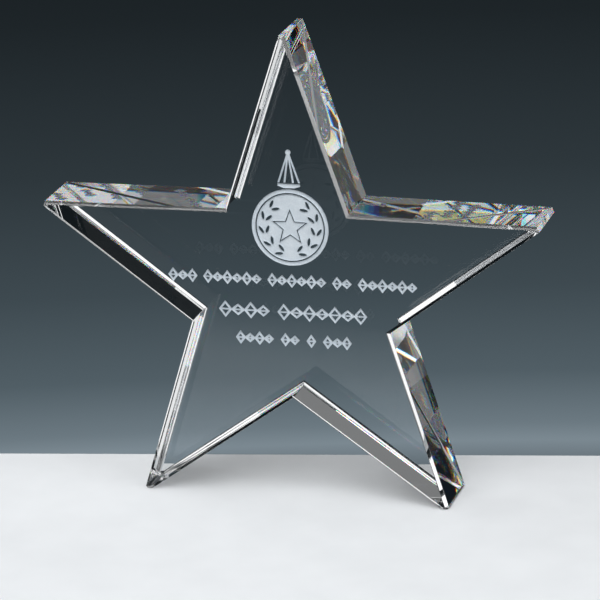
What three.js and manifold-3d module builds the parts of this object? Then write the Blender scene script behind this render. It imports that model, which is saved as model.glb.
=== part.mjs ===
// Star trophy: one block of polished optical crystal, cut as an upright five-pointed star that
// stands on its two lower points. A medal motif and three rows of lozenge chains are etched into
// its front face. Every frosted area of the etching is its own thin node on the floor of its recess.
//
// Frame: millimetres, +Z up, front face towards -Y, +X to the right of someone facing the front.
// The origin is on the standing surface, halfway between the feet and halfway through the block.
// Outlines are drawn around the star's centre, x to the right and y up, and are stood up at the end.

import * as THREE from 'three';
import { mergeVertices } from 'three/addons/utils/BufferGeometryUtils.js';
import Module from 'manifold-3d';

// ---- driving dimensions ----

// The block
const POINTS = 5;
const POINT_RADIUS = 94; // from the centre to where the two edges of a point would meet
const NOTCH_RADIUS = 36.8; // from the centre to the bottom of the notch between two points
const THICKNESS = 25;
const EDGE_CHAMFER = 1; // polished chamfer all round the front and back faces
const POINT_FACET = 2; // width of the small facet that blunts each point
const GROUND_DEPTH = 73.7; // from the centre down to the flats ground under the two lower points

// The etching
const ETCH_CENTRE_X = 1.2; // the whole design sits slightly right of the centre line
const ETCH_DEPTH = 0.5;
const FROST_THICKNESS = 0.25; // the frosted layer on the floor of each recess
const RECESS_GAP = 0.3; // between a frosted layer and the wall of its recess

// The medal motif
const MEDAL_CENTRE_Y = 24.5;
const MEDAL_RADIUS = 13.4;
const RIM_WIDTH = 1.2;
const CLEAR_LINE = 0.5; // clear line left between two frosted areas
const MEDAL_STAR_RADIUS = 5.6;
const MEDAL_STAR_NOTCH = 0.42; // notch radius over point radius
const LEAF_PAIRS = 5; // on each side of the wreath
const LEAF_LENGTH = 3;
const LEAF_WIDTH = 1.1;
const LEAF_LEAN = THREE.MathUtils.degToRad(28); // how far a leaf turns away from the stem line
const WREATH_RADIUS = 9.1;
const WREATH_START = THREE.MathUtils.degToRad(24); // from straight down to the first pair of leaves
const WREATH_END = THREE.MathUtils.degToRad(142);
const HANGER_HALF_WIDTH = 3.9;
const HANGER_HEIGHT = 1.4;
const CORD_HEIGHT = 10.6; // from the hanger up to where the cords meet
const CORD_WIDTH = 0.6;
const CORD_FEET = [-3.6, -1.5, 1.5, 3.6]; // where the four strands meet the hanger
const KNOT_RADIUS = 0.9;

// The rows of lozenge chains: a tall and a short lozenge by turns, on one centre line
const CHAIN_ROWS = [
  { centreY: 5.6, height: 4.9, pitch: 3.45, space: 2.05, chains: [3, 6, 6, 2, 6] },
  { centreY: -5.7, height: 5.9, pitch: 4.5, space: 2.7, chains: [4, 7] },
  { centreY: -15.6, height: 4.8, pitch: 3.37, space: 2.4, chains: [4, 2, 1, 3] },
];
const SHORT_LOZENGE = 0.7; // height of a short lozenge over a tall one
const LOZENGE_STROKE = 0.62; // width of a lozenge's frosted outline
const CHAIN_BAR = 0.5; // height of the bar that runs through a chain and joins its lozenges

const CIRCLE_SEGMENTS = 72;

// ---- materials ----

const crystal = () =>
  new THREE.MeshStandardMaterial({
    color: 0xe4ecee,
    roughness: 0.02,
    metalness: 0,
    transparent: true,
    opacity: 0.4,
  });

const frost = () => new THREE.MeshStandardMaterial({ color: 0xbecbd6, roughness: 0.85, metalness: 0 });

// ---- outlines ----

const polar = (radius, angle) => new THREE.Vector2(radius * Math.cos(angle), radius * Math.sin(angle));

const UP = Math.PI / 2;

/** The corners of an upright star, anticlockwise from the top point. */
function starCorners(points, pointRadius, notchRadius) {
  const corners = [];
  for (let i = 0; i < 2 * points; i += 1) {
    const radius = i % 2 === 0 ? pointRadius : notchRadius;
    corners.push(polar(radius, UP + (i * Math.PI) / points));
  }
  return corners;
}

/** The outline with everything cut off that lies further than distance along the unit vector. */
function cutBeyond(outline, direction, distance) {
  const kept = [];
  outline.forEach((corner, i) => {
    const next = outline[(i + 1) % outline.length];
    const here = corner.dot(direction) - distance;
    const there = next.dot(direction) - distance;
    if (here <= 0) kept.push(corner);
    if (here * there < 0) kept.push(corner.clone().lerp(next, here / (here - there)));
  });
  return kept;
}

/** The outline of the block: a star with blunted points and two feet ground flat. */
function blockOutline() {
  let outline = starCorners(POINTS, POINT_RADIUS, NOTCH_RADIUS);
  const notch = polar(NOTCH_RADIUS, Math.PI / POINTS);
  const halfPointAngle = Math.atan2(notch.y, POINT_RADIUS - notch.x);
  const facetRadius = POINT_RADIUS - POINT_FACET / 2 / Math.tan(halfPointAngle);
  for (let i = 0; i < POINTS; i += 1) {
    outline = cutBeyond(outline, polar(1, UP + (i * 2 * Math.PI) / POINTS), facetRadius);
  }
  return cutBeyond(outline, new THREE.Vector2(0, -1), GROUND_DEPTH);
}

const moved = (corners, x, y) => corners.map((corner) => new THREE.Vector2(corner.x + x, corner.y + y));

function circle(radius) {
  const corners = [];
  for (let i = 0; i < CIRCLE_SEGMENTS; i += 1) {
    corners.push(polar(radius, (i * 2 * Math.PI) / CIRCLE_SEGMENTS));
  }
  return corners;
}

/** A pointed leaf along its own x axis: two arcs between its ends. */
function leaf(centre, angle) {
  const arcSteps = 5;
  const corners = [];
  for (let side = 1; side >= -1; side -= 2) {
    for (let i = 0; i < arcSteps; i += 1) {
      const along = (-side * Math.cos((i * Math.PI) / arcSteps) * LEAF_LENGTH) / 2;
      const across = (-side * Math.sin((i * Math.PI) / arcSteps) * LEAF_WIDTH) / 2;
      corners.push(new THREE.Vector2(along, across).rotateAround(new THREE.Vector2(), angle).add(centre));
    }
  }
  return corners;
}

/** Pairs of leaves up both sides of the medal, each pair leaning away from the line of the stem. */
function wreathLeaves() {
  const leaves = [];
  for (const side of [-1, 1]) {
    for (let i = 0; i < LEAF_PAIRS; i += 1) {
      const turn = WREATH_START + ((WREATH_END - WREATH_START) * i) / (LEAF_PAIRS - 1);
      const angle = -UP + side * turn;
      for (const lean of [-1, 1]) {
        const centre = polar(WREATH_RADIUS + lean * LEAF_WIDTH, angle);
        leaves.push(leaf(centre, angle + side * UP - side * lean * LEAF_LEAN));
      }
    }
  }
  return leaves;
}

/** The four strands of the cords, which fan out from the knot down to the hanger. */
function cordOutline() {
  const top = CORD_HEIGHT;
  const half = CORD_WIDTH / 2;
  const corners = [new THREE.Vector2(half, top), new THREE.Vector2(-half, top)];
  CORD_FEET.forEach((foot, i) => {
    corners.push(new THREE.Vector2(foot - half, 0), new THREE.Vector2(foot + half, 0));
    const next = CORD_FEET[i + 1];
    if (next === undefined) return;
    const split = CORD_WIDTH / (next - foot); // share of the height where the two strands part
    corners.push(new THREE.Vector2(((foot + next) / 2) * split, top * (1 - split)));
  });
  return corners;
}

function hangerOutline() {
  return [
    new THREE.Vector2(-HANGER_HALF_WIDTH, HANGER_HEIGHT),
    new THREE.Vector2(-HANGER_HALF_WIDTH, HANGER_HEIGHT / 2),
    new THREE.Vector2(-HANGER_HALF_WIDTH / 2, 0),
    new THREE.Vector2(HANGER_HALF_WIDTH / 2, 0),
    new THREE.Vector2(HANGER_HALF_WIDTH, HANGER_HEIGHT / 2),
    new THREE.Vector2(HANGER_HALF_WIDTH, HANGER_HEIGHT),
  ];
}

const lozengeHeight = (row, link) => (link % 2 === 0 ? row.height : row.height * SHORT_LOZENGE);

/** The zigzag outline of a chain, from its left tip. */
function chainOutline(row, links) {
  const neck = CHAIN_BAR / 2;
  const upper = [];
  for (let link = 0; link < links; link += 1) {
    const x = (link + 0.5) * row.pitch;
    upper.push(new THREE.Vector2(x, lozengeHeight(row, link) / 2));
    if (link < links - 1) upper.push(new THREE.Vector2(x + row.pitch / 2, neck));
  }
  const lower = upper.map((corner) => new THREE.Vector2(corner.x, -corner.y));
  return [new THREE.Vector2(0, 0), ...lower, new THREE.Vector2(links * row.pitch, 0), ...upper.reverse()];
}

/** The two clear triangles inside one lozenge, above and below the bar. */
function lozengeWindows(row, link) {
  const half = new THREE.Vector2(row.pitch / 2, lozengeHeight(row, link) / 2);
  const inner = new THREE.Vector2(
    half.x - (LOZENGE_STROKE * half.length()) / half.y,
    half.y - (LOZENGE_STROKE * half.length()) / half.x,
  );
  const bar = CHAIN_BAR / 2;
  const base = inner.x * (1 - bar / inner.y);
  const x = (link + 0.5) * row.pitch;
  return [1, -1].map((side) => [
    new THREE.Vector2(x - base, side * bar),
    new THREE.Vector2(x + base, side * bar),
    new THREE.Vector2(x, side * inner.y),
  ]);
}

// ---- solids ----

const wasm = await Module();
wasm.setup();

/** Turns an extrusion (outline in x and y, depth along z) so that it stands up, depth towards -Y. */
const STAND_UP = new THREE.Matrix4().set(1, 0, 0, 0, 0, 0, -1, 0, 0, 1, 0, GROUND_DEPTH, 0, 0, 0, 1);

/** A manifold-3d solid from a closed three.js geometry. */
function solid(geometry) {
  const bare = geometry.clone();
  bare.deleteAttribute('normal');
  bare.deleteAttribute('uv');
  const merged = mergeVertices(bare);
  const mesh = new wasm.Mesh({
    numProp: 3,
    vertProperties: new Float32Array(merged.attributes.position.array),
    triVerts: new Uint32Array(merged.index.array),
  });
  return new wasm.Manifold(mesh);
}

function geometryOf(manifold) {
  const { vertProperties, triVerts } = manifold.getMesh();
  const geometry = new THREE.BufferGeometry();
  geometry.setAttribute('position', new THREE.BufferAttribute(vertProperties, 3));
  geometry.setIndex(new THREE.BufferAttribute(triVerts, 1));
  geometry.computeVertexNormals();
  return geometry;
}

/** The block without its recesses: the star outline with a chamfer round both faces. */
function plainBlock() {
  const geometry = new THREE.ExtrudeGeometry(new THREE.Shape(blockOutline()), {
    depth: THICKNESS - 2 * EDGE_CHAMFER,
    bevelEnabled: true,
    bevelThickness: EDGE_CHAMFER,
    bevelSize: EDGE_CHAMFER,
    bevelOffset: -EDGE_CHAMFER,
    bevelSegments: 1,
  });
  geometry.translate(0, 0, EDGE_CHAMFER - THICKNESS / 2);
  return solid(geometry.applyMatrix4(STAND_UP));
}

const RECESS_FLOOR = THICKNESS / 2 - ETCH_DEPTH; // distance of the recess floors from mid-thickness

/** An outline made solid from one distance in front of mid-thickness to another. */
function slab(outline, from, to) {
  const shape = new THREE.Shape(outline);
  const geometry = new THREE.ExtrudeGeometry(shape, { depth: to - from, bevelEnabled: false });
  geometry.translate(0, 0, from);
  return solid(geometry.applyMatrix4(STAND_UP));
}

/** A frosted layer on the floor of a recess, with clear areas cut right through it. */
function frostedLayer(outline, clearAreas = []) {
  const layer = slab(outline, RECESS_FLOOR, RECESS_FLOOR + FROST_THICKNESS);
  return clearAreas.reduce((rest, area) => rest.subtract(slab(area, 0, THICKNESS)), layer);
}

/** The tool that cuts a recess: the outline widened by the gap, from the floor to past the face. */
function recessTool(outline) {
  const lip = ETCH_DEPTH / 2;
  const geometry = new THREE.ExtrudeGeometry(new THREE.Shape(outline), {
    depth: ETCH_DEPTH,
    bevelEnabled: true,
    bevelThickness: lip,
    bevelSize: 0,
    bevelOffset: RECESS_GAP,
    bevelSegments: 1,
  });
  geometry.translate(0, 0, RECESS_FLOOR + lip);
  return solid(geometry.applyMatrix4(STAND_UP));
}

// ---- the object ----

const trophy = new THREE.Group();
trophy.name = 'star_trophy';

const recesses = [];

function add(name, manifold, material) {
  const mesh = new THREE.Mesh(geometryOf(manifold), material);
  mesh.name = name;
  trophy.add(mesh);
}

/** Adds the medal: a rim, a field with a wreath of clear leaves, and a star in the middle. */
function addMedal() {
  const place = (corners) => moved(corners, ETCH_CENTRE_X, MEDAL_CENTRE_Y);
  const fieldRadius = MEDAL_RADIUS - RIM_WIDTH - CLEAR_LINE;
  const star = (radius) => starCorners(POINTS, radius, radius * MEDAL_STAR_NOTCH);
  const starWindow = star(MEDAL_STAR_RADIUS + 2 * CLEAR_LINE);

  const rim = frostedLayer(place(circle(MEDAL_RADIUS)), [place(circle(MEDAL_RADIUS - RIM_WIDTH))]);
  const field = frostedLayer(place(circle(fieldRadius)), [starWindow, ...wreathLeaves()].map(place));
  add('frost_medal_rim', rim, frost());
  add('frost_medal_field', field, frost());
  add('frost_medal_star', frostedLayer(place(star(MEDAL_STAR_RADIUS))), frost());
  recesses.push(recessTool(place(circle(MEDAL_RADIUS))));
}

/** Adds the hanger bar above the medal, and the cords with their knot. */
function addHangerAndCords() {
  const hangerBase = MEDAL_CENTRE_Y + MEDAL_RADIUS + CLEAR_LINE;
  const cordBase = hangerBase + HANGER_HEIGHT + CLEAR_LINE;
  const hanger = moved(hangerOutline(), ETCH_CENTRE_X, hangerBase);
  const cords = moved(cordOutline(), ETCH_CENTRE_X, cordBase);
  const knot = moved(circle(KNOT_RADIUS), ETCH_CENTRE_X, cordBase + CORD_HEIGHT);
  const fan = [CORD_FEET[0], CORD_FEET.at(-1)].map((foot) => new THREE.Vector2(foot, 0));
  const cordRecess = moved([...fan, new THREE.Vector2(0, CORD_HEIGHT)], ETCH_CENTRE_X, cordBase);

  add('frost_hanger', frostedLayer(hanger), frost());
  add('frost_cords', frostedLayer(cords).add(frostedLayer(knot)), frost());
  recesses.push(recessTool(hanger), recessTool(cordRecess), recessTool(cords), recessTool(knot));
}

/** Adds one row of lozenge chains, centred on the design's centre line. */
function addChainRow(row, number) {
  const links = row.chains.reduce((sum, count) => sum + count, 0);
  const length = links * row.pitch + (row.chains.length - 1) * row.space;
  let x = ETCH_CENTRE_X - length / 2;
  row.chains.forEach((count, i) => {
    const outline = moved(chainOutline(row, count), x, row.centreY);
    const windows = [];
    for (let link = 0; link < count; link += 1) {
      windows.push(...lozengeWindows(row, link).map((corners) => moved(corners, x, row.centreY)));
    }
    add(`frost_row${number}_chain${i + 1}`, frostedLayer(outline, windows), frost());
    recesses.push(recessTool(outline));
    x += count * row.pitch + row.space;
  });
}

addMedal();
addHangerAndCords();
CHAIN_ROWS.forEach((row, i) => addChainRow(row, i + 1));

const block = recesses.reduce((body, tool) => body.subtract(tool), plainBlock());
add('crystal_star', block, crystal());

export default trophy;
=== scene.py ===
"""Star trophy: a thick five-pointed star of clear optical crystal with an etched front face.

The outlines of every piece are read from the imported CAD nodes. The block is rebuilt here with the
etched recesses cut crisply into its front face. Its chamfers are slightly crowned, and rounded where
they meet the faces and the side walls, as polishing leaves them. Each frosted area is a thin skin
that lines its own recess, so light meets it both from outside and from within the crystal.
"""

import math

import bmesh
import bpy
from mathutils import Matrix, Vector
from mathutils.geometry import tessellate_polygon


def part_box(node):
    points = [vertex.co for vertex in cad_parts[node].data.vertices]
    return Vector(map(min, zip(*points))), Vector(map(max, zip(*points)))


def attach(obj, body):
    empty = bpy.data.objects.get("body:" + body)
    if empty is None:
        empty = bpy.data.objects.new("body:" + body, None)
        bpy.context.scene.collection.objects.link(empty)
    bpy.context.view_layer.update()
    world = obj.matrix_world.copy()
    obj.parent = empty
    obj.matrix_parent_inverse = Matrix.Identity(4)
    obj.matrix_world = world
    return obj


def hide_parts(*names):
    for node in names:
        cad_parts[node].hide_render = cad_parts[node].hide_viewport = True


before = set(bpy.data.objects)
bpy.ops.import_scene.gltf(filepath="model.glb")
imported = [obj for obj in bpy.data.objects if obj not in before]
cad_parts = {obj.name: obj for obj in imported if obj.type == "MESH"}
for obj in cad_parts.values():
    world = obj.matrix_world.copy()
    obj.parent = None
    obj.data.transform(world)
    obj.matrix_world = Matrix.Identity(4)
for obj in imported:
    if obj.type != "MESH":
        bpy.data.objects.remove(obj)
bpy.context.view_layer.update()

MM = 0.001

# ---- shape ----

FLAT = 0.001 * MM  # corners closer than this lie on one plane, or are one corner
STRAIGHT = 0.99999  # cosine of a turn that is too slight to be a corner
SKIN = 0.05 * MM  # how far the frosted skin stands in and out of the recess surface
RIM_SINK = 0.01 * MM  # the skin's rim ends this far below the polished face
SHARPEST_MITRE = 3.0  # an offset corner moves at most this many times the offset
CROWN = math.radians(6)  # how far the slope of a polished chamfer drifts to either side of 45 degrees
CROWN_STEPS = 3
ARRIS = 0.12 * MM  # width of the rounding where a chamfer meets a face or a side wall
ARRIS_STEPS = 3
CORNER_REACH = 0.15 * MM  # how far from a corner of the outline its rounding starts
CORNER_STEPS = 4
SMOOTH_BELOW = math.radians(40)  # faces that meet at less than this are one polished surface
LARGE_FACES_ONLY = 100  # the modifier's highest weight: a shared normal follows the largest face
SIDE_WALL_SLOPE = 0.1  # a side wall's normal has less than this along y
SIDE_WALL_AREA = 10 * MM * MM  # and its faces are larger than a recess wall's or a corner's

# ---- materials ----

CRYSTAL_IOR = 1.517
CRYSTAL_TINTS = [(0.35, (0.975, 0.985, 0.99)), (0.65, (0.99, 0.995, 0.995))]
CRYSTAL_TINT_SIZE = 60 * MM
DISPERSION = [  # colour, index of refraction; the colours average to white
    ((3.00, 0.00, 0.00), 1.511),
    ((2.00, 1.50, 0.00), 1.514),
    ((0.00, 2.25, 0.25), 1.517),
    ((0.00, 1.25, 2.25), 1.521),
    ((0.00, 0.00, 2.50), 1.525),
]
FROST_TONES = [(0.3, (0.50, 0.56, 0.62)), (0.5, (0.60, 0.665, 0.72)), (0.7, (0.74, 0.79, 0.83))]
FROST_ROUGHNESS = 0.75
FROST_IOR = 1.45
GRIT_SIZE = 0.28 * MM
GRIT_DETAIL = 3.0
GRIT_HARSHNESS = 0.7
GRIT_BUMP = 0.5
GRIT_DEPTH = 0.06 * MM
CLOUD_SIZE = 4 * MM
CLOUD_SHARE = 0.3  # how much of the frost's tone follows the clouds and not the grit
PLINTH_TONES = [(0.3, (0.66, 0.68, 0.70)), (0.7, (0.69, 0.71, 0.73))]
PLINTH_TONE_SIZE = 20 * MM
# painted shade: the dark colour that the plinth is mixed towards at its front edge, as if little light
# reached it
PLINTH_FRONT_PAINTED_SHADE = (0.08, 0.09, 0.10)
PLINTH_ROUGHNESS = 0.9
PLINTH_SHINE = 0.1

# ---- camera ----

CAMERA_AZIMUTH = math.radians(16.224)
CAMERA_ELEVATION = math.radians(18.163)
CAMERA_ROLL = math.radians(-1.783)
CAMERA_DISTANCE = 1.3783
CAMERA_TARGET = Vector((-0.0008, 0.0, 0.0691))  # azimuth, elevation and distance are seen from here
CAMERA_AIM_RIGHT = 0.00106  # it looks this far to the right of the target
CAMERA_AIM_UP = -0.00071  # and this far above it
CAMERA_LENS = 241.7
CAMERA_CLIP = (0.05, 20.0)

# ---- stage ----

TROPHY_MIDDLE = Vector((0, 0, 0.08))
LIGHT_DISTANCE = 2.0
CARD_DISTANCE = 0.65
SOFTBOXES = [  # name, the azimuths and elevations it fills in degrees, radiance
    ("left_wall", (-140, -60), (12, 42), 1.4),
    ("ceiling_left", (-125, -45), (42, 82), 1.4),
    ("ceiling_front", (-45, 60), (64, 84), 0.8),
    ("ceiling_back", (140, 200), (42, 62), 1.2),
    ("front", (8, 24), (20, 30), 0.2),
    ("front_left", (-28, -12), (10, 20), 0.6),
    ("front_left_level", (-30, -15), (-9, 0), 1.1),
    ("front_low", (4, 20), (-20, -10), 0.5),
    ("right_wall", (45, 135), (10, 20), 1.3),
    ("right_near", (46, 58), (-8, 2), 0.6),
    ("right_level", (105, 120), (-8, 0), 1.0),
    ("back_strip", (170, 190), (0, 8), 1.1),
    ("back_middle", (176, 187), (10, 20), 0.6),
    ("back_column", (160, 175), (10, 20), 0.2),
    ("back_right_strip", (148, 166), (-9, 0), 0.3),
    ("back_right_mid", (157, 179), (-21, -9), 0.8),
    ("back_right_low", (156, 168), (-36, -22), 1.1),
    ("back_left_low", (-144, -118), (-32, -18), 0.25),
    ("back_left", (-172, -154), (8, 22), 0.1),
    ("left_low", (-130, -110), (-50, -34), 0.3),
]
NEAR_CARDS = [  # low behind the plinth, where only the two lower legs see them
    ("left_leg_card", (178, 190), (-37, -24), 0.85),
    ("right_leg_card", (-142, -128), (-35, -27), 0.8),
]
KEY_LIGHTS = [  # they light the frost and glint on edges, and don't show through the crystal
    ("key", (-40, 30), (30, 70), 4.5),
    ("rim_right", (45, 95), (5, 40), 3.0),
]
PLINTH_HALF_WIDTH = 0.3
PLINTH_FRONT = 0.16
PLINTH_BACK = 0.034
PLINTH_THICKNESS = 0.03
PLINTH_EDGE = 2 * MM
PLINTH_EDGE_STEPS = 2
PLINTH_PAINTED_SHADE_START = 0.11  # from this far in front painted shade darkens it, so that the crystal shows no edge of it
PLINTH_TURN = math.radians(10.5)  # so that its back edge is level in the camera's view
BACKDROP_LOW = -0.40  # sine of the elevation of the first backdrop colour
BACKDROP_HIGH = -0.20  # and of the last
BACKDROP_FOOT = 0.27  # its glow starts at this share of the way between the two
BACKDROP_BELOW = [(0.0, (0.010, 0.012, 0.014)), (0.2, (0.020, 0.025, 0.030))]  # position, colour
BACKDROP_GLOWS = [  # colour at the foot, height over which it fades
    ((0.10, 0.14, 0.165), 0.25),
    ((0.10, 0.11, 0.12), 0.035),
]
BACKDROP_STEPS = 6


# ---- outlines from the CAD nodes ----


def corner_key(corner):
    return tuple(round(value / FLAT) for value in corner)


def chain(edges):
    """Joins directed edges, given as a dict from corner key to next key, into closed loops."""
    loops = []
    while edges:
        start = key = next(iter(edges))
        loop = []
        while key in edges:
            loop.append(key)
            key = edges.pop(key)
        if key == start:
            loops.append(loop)
    return loops


def border_loops(node, on_border):
    """The closed borders of the faces of a node that on_border picks, as lists of (x, z) corners.

    on_border(corners) returns the part of a face's edges that may lie on a border.
    """
    mesh = node.data
    edges = set()
    for polygon in mesh.polygons:
        corners = [mesh.vertices[i].co for i in polygon.vertices]
        for a, b in on_border(corners):
            edge = (corner_key(a), corner_key(b))
            if edge[::-1] in edges:
                edges.remove(edge[::-1])
            else:
                edges.add(edge)
    keys = chain(dict(sorted(edges)))
    return [straightened([Vector((x * FLAT, z * FLAT)) for x, _, z in loop]) for loop in keys]


def straightened(loop):
    """The loop without corners at which it doesn't turn."""
    kept = []
    for i, corner in enumerate(loop):
        before = (corner - loop[i - 1]).normalized()
        after = (loop[(i + 1) % len(loop)] - corner).normalized()
        if before.dot(after) < STRAIGHT:
            kept.append(corner)
    return kept


def face_loops(node, depth):
    """The outlines of a node's flat face at y = depth."""

    def edges(corners):
        if any(abs(corner.y - depth) > FLAT for corner in corners):
            return []
        return list(zip(corners, corners[1:] + corners[:1]))

    return border_loops(node, edges)


def side_loop(node, depth):
    """The outline along which a node's side walls end at y = depth."""

    def edges(corners):
        if any(abs(abs(corner.y) - abs(depth)) > FLAT for corner in corners):
            return []
        pairs = zip(corners, corners[1:] + corners[:1])
        return [(a, b) for a, b in pairs if abs(a.y - depth) < FLAT and abs(b.y - depth) < FLAT]

    return max(border_loops(node, edges), key=len)


def area(loop):
    """Signed area: positive if the loop runs anticlockwise."""
    return sum(a.cross(b) for a, b in zip(loop, loop[1:] + loop[:1])) / 2


def inside(point, loop):
    """Whether the point is inside the loop: a ray to +x crosses it an odd number of times."""
    crossings = 0
    for a, b in zip(loop, loop[1:] + loop[:1]):
        if (a.y > point.y) != (b.y > point.y):
            crossings += a.x + (point.y - a.y) / (b.y - a.y) * (b.x - a.x) > point.x
    return crossings % 2 == 1


def offset(loop, distance):
    """The loop moved to its right by distance, with mitred corners."""
    moved = []
    for i, corner in enumerate(loop):
        before = (corner - loop[i - 1]).normalized()
        after = (loop[(i + 1) % len(loop)] - corner).normalized()
        bisector = (Vector((before.y, -before.x)) + Vector((after.y, -after.x))).normalized()
        reach = 1 / max(bisector.dot(Vector((before.y, -before.x))), 1 / SHARPEST_MITRE)
        moved.append(corner + bisector * distance * reach)
    return moved


def rounded(loop):
    """The loop with a small rounding in place of each corner."""
    points = []
    for i, corner in enumerate(loop):
        start = corner + (loop[i - 1] - corner).normalized() * CORNER_REACH
        end = corner + (loop[(i + 1) % len(loop)] - corner).normalized() * CORNER_REACH
        for step in range(CORNER_STEPS + 1):
            s = step / CORNER_STEPS
            points.append(start * (1 - s) ** 2 + corner * 2 * s * (1 - s) + end * s**2)
    return points


def bend(start, end, length, count):
    """Steps (out, down) of a line that turns evenly from one slope to another."""
    slopes = [start + (end - start) * (i + 0.5) / count for i in range(count)]
    return [(math.cos(slope) * length / count, math.sin(slope) * length / count) for slope in slopes]


def chamfer_profile(depth):
    """Points (out, down) from a flat face, over its chamfer, to the side wall.

    Out is measured from the inner edge of a plain 45 degree chamfer of this depth. The polished one
    is slightly crowned, and rounded along both its edges.
    """
    middle = math.radians(45)
    arris = bend(0, middle - CROWN, ARRIS, ARRIS_STEPS)
    crown = bend(middle - CROWN, middle, 1.0, CROWN_STEPS)
    length = (depth / 2 - sum(down for _, down in arris)) / sum(down for _, down in crown)
    half = arris + [(out * length, down * length) for out, down in crown]
    steps = half + [(down, out) for out, down in reversed(half)]
    points = [(depth - sum(out for out, _ in steps), 0.0)]
    for out, down in steps:
        points.append((points[-1][0] + out, points[-1][1] + down))
    return points


# ---- meshes from outlines ----


class Shell:
    """Collects the vertices and faces of one closed body."""

    def __init__(self):
        self.bm = bmesh.new()

    def ring(self, loop, y):
        return [self.bm.verts.new((corner.x, y, corner.y)) for corner in loop]

    def wall(self, ring, other):
        """Quads between two rings with the same number of corners."""
        count = len(ring)
        for i in range(count):
            j = (i + 1) % count
            self.bm.faces.new((ring[i], ring[j], other[j], other[i]))

    def cap(self, rings):
        """A flat face inside the first ring, with the other rings as holes."""
        corners = [vertex for ring in rings for vertex in ring]
        for triangle in tessellate_polygon([[vertex.co for vertex in ring] for ring in rings]):
            self.bm.faces.new([corners[i] for i in triangle])

    def piece(self, name, material, slot, nodes):
        """Makes the body an object that rides on the trophy and stands for the CAD nodes."""
        bmesh.ops.recalc_face_normals(self.bm, faces=self.bm.faces)
        mesh = bpy.data.meshes.new(name)
        self.bm.to_mesh(mesh)
        self.bm.free()
        mesh.materials.append(material)
        piece = bpy.data.objects.new(name, mesh)
        bpy.context.scene.collection.objects.link(piece)
        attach(piece, "root")
        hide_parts(*nodes)
        return piece


def sorted_by_turn(loop, centre):
    """The loop's corners in order of their angle around the centre."""
    return sorted(loop, key=lambda corner: math.atan2(corner.y - centre.y, corner.x - centre.x))


def polished_regions(outline, etched):
    """The front face's loops, and its polished regions: each a loop's number, then its holes'."""
    loops = [outline] + [loop for loops in etched for loop in loops]
    around = [
        [j for j, other in enumerate(loops) if j != i and inside(loop[0], other)]
        for i, loop in enumerate(loops)
    ]
    regions = []
    for i, outer in enumerate(around):
        if len(outer) % 2 == 0:
            depth = len(outer) + 1
            holes = [j for j, others in enumerate(around) if i in others and len(others) == depth]
            regions.append([i] + holes)
    return loops, regions


def add_star(shell, node):
    """Adds the back face, the chamfers and the side walls. Returns the front outline and its ring."""
    low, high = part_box(node.name)
    centre = Vector(((low.x + high.x) / 2, (low.z + high.z) / 2))
    levels = sorted({round(vertex.co.y / FLAT) * FLAT for vertex in node.data.vertices})
    chamfer = high.y - levels[-2]
    full = rounded(sorted_by_turn(side_loop(node, levels[-2]), centre))
    faces = max(face_loops(node, high.y), key=lambda loop: abs(area(loop)))
    inset = rounded(sorted_by_turn(faces, centre))
    outlines = [
        ([a.lerp(b, out / chamfer) for a, b in zip(inset, full)], down)
        for out, down in chamfer_profile(chamfer)
    ]
    back = [shell.ring(outline, high.y - down) for outline, down in outlines]
    front = [shell.ring(outline, low.y + down) for outline, down in outlines]
    shell.cap([back[0]])
    around = back + front[::-1]
    for ring, other in zip(around, around[1:]):
        shell.wall(ring, other)
    return outlines[0][0], front[0]


def add_etched_face(shell, outline, ring, etched, face, recess_floor):
    """Closes the block with its front face, in which each etched area is a recess."""
    loops, regions = polished_regions(outline, etched)
    lips = [ring] + [shell.ring(loop, face) for loop in loops[1:]]
    for region in regions:
        shell.cap([lips[i] for i in region])
    feet = [shell.ring(loop, recess_floor) for loop in loops[1:]]
    for lip, foot in zip(lips[1:], feet):
        shell.wall(lip, foot)
    first = 0
    for recess in etched:
        shell.cap(feet[first : first + len(recess)])
        first += len(recess)


def build_crystal(node, etched, face, recess_floor, material, side_material):
    """The block: a chamfered star with every etched outline sunk into its front face."""
    shell = Shell()
    outline, ring = add_star(shell, node)
    add_etched_face(shell, outline, ring, etched, face, recess_floor)
    block = shell.piece("crystal_block", material, "optical_crystal", [node.name])
    block.data.materials.append(side_material)
    for polygon in block.data.polygons:
        if abs(polygon.normal.y) < SIDE_WALL_SLOPE and polygon.area > SIDE_WALL_AREA:
            polygon.material_index = 1
    block.data.shade_smooth()
    block.data.set_sharp_from_angle(angle=SMOOTH_BELOW)
    flatten = block.modifiers.new("flat_faces_stay_flat", "WEIGHTED_NORMAL")
    flatten.weight = LARGE_FACES_ONLY
    flatten.keep_sharp = True


def build_frost(node, loops, face, recess_floor, material):
    """A frosted skin along the floor and the walls of one recess."""
    outer = [offset(loop, SKIN) for loop in loops]
    inner = [offset(loop, -SKIN) for loop in loops]
    shell = Shell()
    buried = [shell.ring(loop, recess_floor + SKIN) for loop in outer]
    buried_rim = [shell.ring(loop, face + RIM_SINK) for loop in outer]
    rim = [shell.ring(loop, face + RIM_SINK) for loop in inner]
    floor = [shell.ring(loop, recess_floor - SKIN) for loop in inner]
    for rings in (buried, floor):
        shell.cap(rings)
    for levels in zip(buried, buried_rim, rim, floor):
        for ring, other in zip(levels, levels[1:]):
            shell.wall(ring, other)
    name = node.name.replace("frost_", "etched_")
    shell.piece(name, material, "etched_frost", [node.name])


# ---- materials ----


def set_stops(ramp, stops):
    """Sets a colour ramp's stops, given as (position, colour) pairs."""
    elements = ramp.color_ramp.elements
    while len(elements) < len(stops):
        elements.new(1.0)
    for element, (position, colour) in zip(elements, stops):
        element.position = position
        element.color = (*colour, 1.0)


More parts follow.
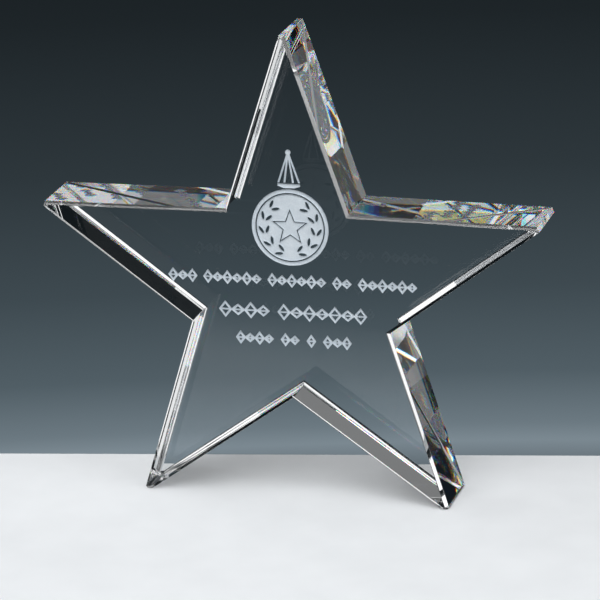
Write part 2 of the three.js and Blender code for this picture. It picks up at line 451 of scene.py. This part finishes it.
class Nodes:
    """Short names for the few node types that the materials use."""

    def __init__(self, material):
        self.tree = material.node_tree
        self.principled = self.tree.nodes["Principled BSDF"]
        self.coordinates = self.add("ShaderNodeTexCoord").outputs["Object"]

    def add(self, kind, **settings):
        node = self.tree.nodes.new(kind)
        for name, value in settings.items():
            setattr(node, name, value)
        return node

    def link(self, source, target):
        self.tree.links.new(source, target)

    def noise(self, size, detail=2.0, roughness=0.5):
        """Noise whose blobs are about size metres across."""
        node = self.add("ShaderNodeTexNoise")
        node.inputs["Scale"].default_value = 1 / size
        node.inputs["Detail"].default_value = detail
        node.inputs["Roughness"].default_value = roughness
        self.link(self.coordinates, node.inputs["Vector"])
        return node.outputs["Fac"]

    def ramp(self, factor, stops):
        """Colours by position from 0 to 1."""
        node = self.add("ShaderNodeValToRGB")
        set_stops(node, stops)
        self.link(factor, node.inputs["Fac"])
        return node.outputs["Color"]

    def glass(self, colour, ior):
        """A polished glass shader. Its colour may be brighter than 1 if it is one of a mix."""
        node = self.add("ShaderNodeBsdfGlass")
        node.inputs["Color"].default_value = (*colour, 1.0)
        node.inputs["Roughness"].default_value = 0.0
        node.inputs["IOR"].default_value = ior
        return node.outputs["BSDF"]

    def mixed_shaders(self, one, other, share):
        """One shader with a share of another. The share is a number or another node's output."""
        node = self.add("ShaderNodeMixShader")
        if isinstance(share, float):
            node.inputs["Fac"].default_value = share
        else:
            self.link(share, node.inputs["Fac"])
        self.link(one, node.inputs[1])
        self.link(other, node.inputs[2])
        return node.outputs["Shader"]

    def bump(self, height, strength, depth):
        """Normals that follow the height, which spans this depth."""
        node = self.add("ShaderNodeBump")
        node.inputs["Strength"].default_value = strength
        node.inputs["Distance"].default_value = depth
        self.link(height, node.inputs["Height"])
        return node.outputs["Normal"]


def new_material(name):
    material = bpy.data.materials.new(name)
    material.use_nodes = True
    return material


def clear_crystal(nodes):
    """Sets the material's main shader to crystal: almost colourless, with a faint cool drift."""
    shader = nodes.principled
    shader.inputs["IOR"].default_value = CRYSTAL_IOR
    shader.inputs["Transmission Weight"].default_value = 1.0
    shader.inputs["Roughness"].default_value = 0.0
    tint = nodes.ramp(nodes.noise(CRYSTAL_TINT_SIZE), CRYSTAL_TINTS)
    nodes.link(tint, shader.inputs["Base Color"])
    return shader.outputs["BSDF"]


def crystal_material():
    """The polished faces and chamfers."""
    material = new_material("optical_crystal")
    clear_crystal(Nodes(material))
    return material


def crystal_side_material():
    """The side walls, where light that enters steeply is split a little into its colours."""
    material = new_material("optical_crystal_side")
    nodes = Nodes(material)
    entering = nodes.glass(*DISPERSION[0])
    for count, (colour, ior) in enumerate(DISPERSION[1:], start=2):
        entering = nodes.mixed_shaders(entering, nodes.glass(colour, ior), 1 / count)
    geometry = nodes.add("ShaderNodeNewGeometry")
    surface = nodes.mixed_shaders(entering, clear_crystal(nodes), geometry.outputs["Backfacing"])
    nodes.link(surface, nodes.tree.nodes["Material Output"].inputs["Surface"])
    return material


def frost_material():
    """Sand-etched crystal: matt and pale, with the fine pits of the blasting grit."""
    material = new_material("etched_frost")
    nodes = Nodes(material)
    shader = nodes.principled
    grit = nodes.noise(GRIT_SIZE, GRIT_DETAIL, GRIT_HARSHNESS)
    clouds = nodes.noise(CLOUD_SIZE)
    mixed = nodes.add("ShaderNodeMix", data_type="FLOAT")
    mixed.inputs["Factor"].default_value = CLOUD_SHARE
    nodes.link(grit, mixed.inputs["A"])
    nodes.link(clouds, mixed.inputs["B"])
    tone = nodes.ramp(mixed.outputs["Result"], FROST_TONES)
    nodes.link(tone, shader.inputs["Base Color"])
    nodes.link(nodes.bump(grit, GRIT_BUMP, GRIT_DEPTH), shader.inputs["Normal"])
    shader.inputs["Roughness"].default_value = FROST_ROUGHNESS
    shader.inputs["IOR"].default_value = FROST_IOR
    return material


def plinth_material():
    """Matt pale stone, with painted shade that darkens it towards the front edge."""
    material = new_material("pale_plinth")
    nodes = Nodes(material)
    pale = nodes.ramp(nodes.noise(PLINTH_TONE_SIZE), PLINTH_TONES)
    split = nodes.add("ShaderNodeSeparateXYZ")
    nodes.link(nodes.coordinates, split.inputs["Vector"])
    # painted shade: the stone's colour is mixed towards a dark tone near the front edge
    near = nodes.add("ShaderNodeMapRange")
    near.inputs["From Min"].default_value = -PLINTH_PAINTED_SHADE_START
    near.inputs["From Max"].default_value = -PLINTH_FRONT
    nodes.link(split.outputs["Y"], near.inputs["Value"])
    painted_shade = nodes.add("ShaderNodeMix", data_type="RGBA")
    nodes.link(near.outputs["Result"], painted_shade.inputs["Factor"])
    nodes.link(pale, painted_shade.inputs["A"])
    painted_shade.inputs["B"].default_value = (*PLINTH_FRONT_PAINTED_SHADE, 1.0)
    nodes.link(painted_shade.outputs["Result"], nodes.principled.inputs["Base Color"])
    nodes.principled.inputs["Roughness"].default_value = PLINTH_ROUGHNESS
    nodes.principled.inputs["Specular IOR Level"].default_value = PLINTH_SHINE
    return material


# ---- stage, lights and camera ----


def build_floor():
    """A pale plinth, turned so that its back edge is level in the camera's view."""
    bm = bmesh.new()
    size = Vector((2 * PLINTH_HALF_WIDTH, PLINTH_FRONT + PLINTH_BACK, PLINTH_THICKNESS))
    middle = Vector((0, (PLINTH_BACK - PLINTH_FRONT) / 2, -PLINTH_THICKNESS / 2))
    bmesh.ops.create_cube(bm, matrix=Matrix.Translation(middle) @ Matrix.Diagonal((*size, 1.0)))
    mesh = bpy.data.meshes.new("plinth")
    bm.to_mesh(mesh)
    bm.free()
    mesh.materials.append(plinth_material())
    floor = bpy.data.objects.new("plinth", mesh)
    floor.rotation_euler.z = PLINTH_TURN
    floor.visible_glossy = False  # or its mirror image would veil the polished faces
    bevel = floor.modifiers.new("eased_edges", "BEVEL")
    bevel.width = PLINTH_EDGE
    bevel.segments = PLINTH_EDGE_STEPS
    bpy.context.scene.collection.objects.link(floor)


def glow(height):
    """The backdrop's colour at a height above its foot: its glows fade out upwards."""
    shares = [(colour, math.exp(-height / reach)) for colour, reach in BACKDROP_GLOWS]
    return tuple(sum(colour[channel] * share for colour, share in shares) for channel in range(3))


def backdrop_stops():
    """The backdrop's colours from its lowest to its highest; they lie closest at the glow's foot."""
    heights = [(1 - BACKDROP_FOOT) * (step / BACKDROP_STEPS) ** 2 for step in range(BACKDROP_STEPS + 1)]
    return BACKDROP_BELOW + [(BACKDROP_FOOT + height, glow(height)) for height in heights]


def build_world():
    """A dark studio whose backdrop is lightest just above the plinth's back edge."""
    world = bpy.data.worlds.new("studio")
    world.use_nodes = True
    bpy.context.scene.world = world
    tree = world.node_tree
    coordinates = tree.nodes.new("ShaderNodeTexCoord")
    split = tree.nodes.new("ShaderNodeSeparateXYZ")
    tree.links.new(coordinates.outputs["Generated"], split.inputs["Vector"])
    height = tree.nodes.new("ShaderNodeMapRange")
    height.inputs["From Min"].default_value = BACKDROP_LOW
    height.inputs["From Max"].default_value = BACKDROP_HIGH
    tree.links.new(split.outputs["Z"], height.inputs["Value"])
    ramp = tree.nodes.new("ShaderNodeValToRGB")
    tree.links.new(height.outputs["Result"], ramp.inputs["Fac"])
    set_stops(ramp, backdrop_stops())
    tree.links.new(ramp.outputs["Color"], tree.nodes["Background"].inputs["Color"])


def direction(azimuth, elevation):
    """The unit vector towards a camera or a light that stands at this azimuth and elevation."""
    level = math.cos(elevation)
    return Vector((math.sin(azimuth) * level, -math.cos(azimuth) * level, math.sin(elevation)))


def add_softbox(name, azimuths, elevations, radiance, distance=LIGHT_DISTANCE):
    """A rectangular light that fills this window as seen from the trophy's middle."""
    azimuth, half_width = sum(azimuths) / 2, math.radians(azimuths[1] - azimuths[0]) / 2
    elevation, half_height = sum(elevations) / 2, math.radians(elevations[1] - elevations[0]) / 2
    back = direction(math.radians(azimuth), math.radians(elevation))
    data = bpy.data.lights.new(name, "AREA")
    data.shape = "RECTANGLE"
    data.size = 2 * distance * math.tan(half_width) * math.cos(math.radians(elevation))
    data.size_y = 2 * distance * math.tan(half_height)
    data.energy = radiance * math.pi * data.size * data.size_y
    light = bpy.data.objects.new(name, data)
    light.location = TROPHY_MIDDLE + back * distance
    light.rotation_mode = "QUATERNION"
    light.rotation_quaternion = back.to_track_quat("Z", "Y")
    light.visible_camera = False
    bpy.context.scene.collection.objects.link(light)
    return light


def build_lights():
    for name, azimuths, elevations, radiance in SOFTBOXES:
        add_softbox(name, azimuths, elevations, radiance)
    for name, azimuths, elevations, radiance in NEAR_CARDS:
        add_softbox(name, azimuths, elevations, radiance, CARD_DISTANCE)
    for name, azimuths, elevations, radiance in KEY_LIGHTS:
        light = add_softbox(name, azimuths, elevations, radiance)
        light.visible_transmission = False


def build_camera():
    back = direction(CAMERA_AZIMUTH, CAMERA_ELEVATION)
    level = Vector((math.cos(CAMERA_AZIMUTH), math.sin(CAMERA_AZIMUTH), 0))
    above = back.cross(level)
    right = level * math.cos(CAMERA_ROLL) + above * math.sin(CAMERA_ROLL)
    up = above * math.cos(CAMERA_ROLL) - level * math.sin(CAMERA_ROLL)
    location = CAMERA_TARGET + back * CAMERA_DISTANCE
    aim = CAMERA_TARGET + right * CAMERA_AIM_RIGHT + up * CAMERA_AIM_UP
    away = (location - aim).normalized()
    side = up.cross(away).normalized()
    data = bpy.data.cameras.new("camera")
    data.lens = CAMERA_LENS
    data.clip_start, data.clip_end = CAMERA_CLIP
    camera = bpy.data.objects.new("camera", data)
    axes = Matrix((side, away.cross(side), away)).transposed().to_4x4()
    camera.matrix_world = Matrix.Translation(location) @ axes
    bpy.context.scene.collection.objects.link(camera)
    bpy.context.scene.camera = camera


# ---- the trophy ----


def build_trophy():
    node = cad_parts["crystal_star"]
    frost_nodes = [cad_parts[name] for name in sorted(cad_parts) if name != node.name]
    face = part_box(node.name)[0].y
    frost_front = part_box(frost_nodes[0].name)[0].y
    recess_floor = frost_front + SKIN
    etched = []
    for frost_node in frost_nodes:
        loops = face_loops(frost_node, frost_front)
        etched.append(sorted(loops, key=lambda loop: -abs(area(loop))))
    build_crystal(node, etched, face, recess_floor, crystal_material(), crystal_side_material())
    frost = frost_material()
    for frost_node, loops in zip(frost_nodes, etched):
        build_frost(frost_node, loops, face, recess_floor, frost)


def set_up_scene():
    """Plain colours, and enough bounces for light to find its way out of the block."""
    scene = bpy.context.scene
    scene.view_settings.view_transform = "Standard"
    scene.cycles.sample_clamp_indirect = 4.0  # a lower one turns the mixed glasses greenish
    scene.cycles.max_bounces = 32
    scene.cycles.transmission_bounces = 32
    scene.cycles.glossy_bounces = 16
    scene.cycles.diffuse_bounces = 4
    scene.cycles.transparent_max_bounces = 16


build_trophy()
build_floor()
build_world()
build_lights()
build_camera()
set_up_scene()
